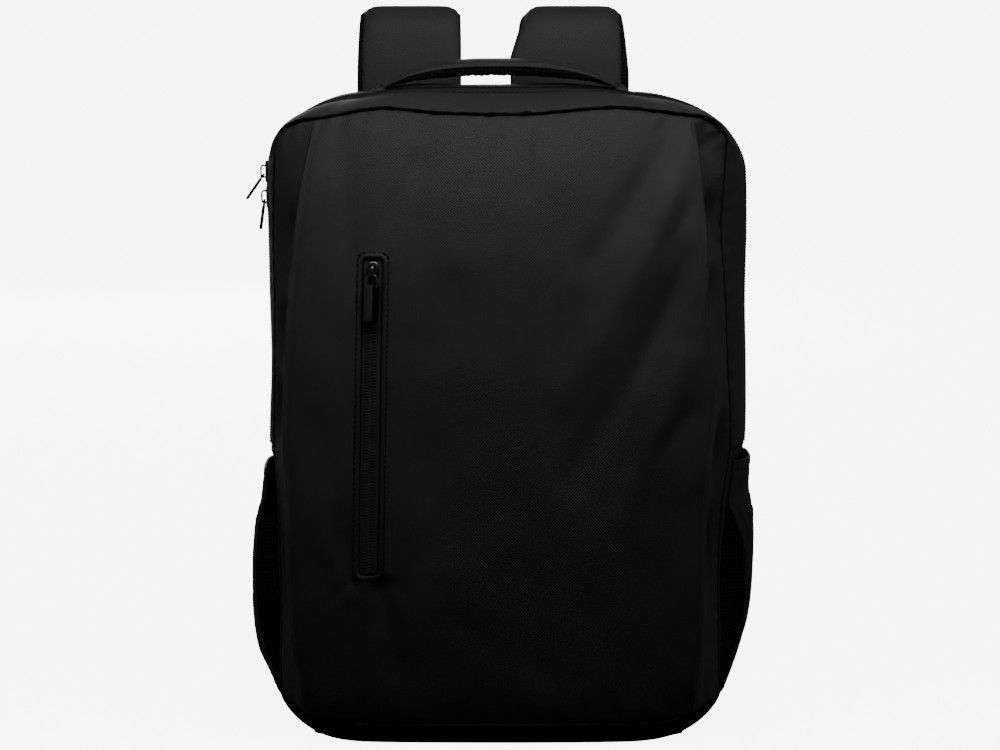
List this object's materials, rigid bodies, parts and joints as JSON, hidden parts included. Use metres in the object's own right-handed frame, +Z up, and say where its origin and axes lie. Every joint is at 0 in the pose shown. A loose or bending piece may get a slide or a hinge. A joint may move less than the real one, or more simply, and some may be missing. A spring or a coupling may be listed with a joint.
{
  "type": "laptop backpack",
  "caption": "Soft boxy laptop backpack standing upright, with a slanting front zip pocket, side pockets, a carrying handle and padded shoulder straps folded behind it.",
  "frame": {"origin": "on the flat underside of the base, midway between the sides and below the front edge of the main zip", "axes": "+Z up, +X to the right seen from the front, +Y from the front of the bag to its back panel"},
  "size_m": [0.3411, 0.1844, 0.478],
  "materials": {
    "body_cloth": "matt near-black fine plain weave",
    "base_cloth": "matt darker coated cloth",
    "air_mesh": "matt black spacer mesh",
    "zip_tape": "matt black ribbed tape",
    "zip_coil": "black nylon coil",
    "gunmetal": "dark gunmetal plating, shiny",
    "pull_rubber": "dark smooth cylindrical pull",
    "webbing": "matt black ribbed webbing",
    "plastic": "black moulded plastic"
  },
  "bodies": {
    "bag": {"front_panel": "body_cloth", "pocket_zip_tape": "zip_tape", "pocket_zip_chain": "zip_coil", "pocket_zip_slider": "gunmetal", "gusset_front": "body_cloth", "gusset_rear": "body_cloth", "main_zip_tape": "zip_tape", "main_zip_chain": "zip_coil", "main_zip_chain_left": "zip_coil", "main_slider_upper": "gunmetal", "main_slider_lower": "gunmetal", "side_panel_left": "body_cloth", "side_panel_right": "body_cloth", "base_panel": "base_cloth", "back_panel": "air_mesh", "side_pocket_left": "body_cloth", "side_pocket_right": "body_cloth", "side_pocket_mesh_left": "air_mesh", "side_pocket_mesh_right": "air_mesh", "side_pocket_band_left": "body_cloth", "side_pocket_band_right": "body_cloth", "handle_cover": "body_cloth", "handle_pad": "air_mesh", "handle_anchor_left": "body_cloth", "handle_anchor_right": "body_cloth", "strap_cover_left": "body_cloth", "strap_cover_right": "body_cloth", "strap_pad_left": "air_mesh", "strap_pad_right": "air_mesh", "strap_adjuster_left": "plastic", "strap_adjuster_right": "plastic", "strap_webbing_left": "webbing", "strap_webbing_right": "webbing", "strap_anchor_left": "body_cloth", "strap_anchor_right": "body_cloth"},
    "pocket_pull": {"pocket_pull_ring": "gunmetal", "pocket_pull_tab": "pull_rubber"},
    "upper_pull": {"main_pull_upper": "gunmetal"},
    "lower_pull": {"main_pull_lower": "gunmetal"}
  },
  "joints": [
    {"name": "pocket_pull_hinge", "type": "hinge", "parent": "bag", "child": "pocket_pull", "pos_m": [-0.08273, -0.07228, 0.31349], "axis": [-0.9983, 0.0569, 0.0109], "range_deg": [0, 140]},
    {"name": "upper_pull_hinge", "type": "hinge", "parent": "bag", "child": "upper_pull", "pos_m": [-0.15772, 0.008, 0.37171], "axis": [0, 1, 0], "range_deg": [-8, 95]},
    {"name": "lower_pull_hinge", "type": "hinge", "parent": "bag", "child": "lower_pull", "pos_m": [-0.15733, 0.008, 0.35471], "axis": [0, 1, 0], "range_deg": [-6, 70]}
  ]
}
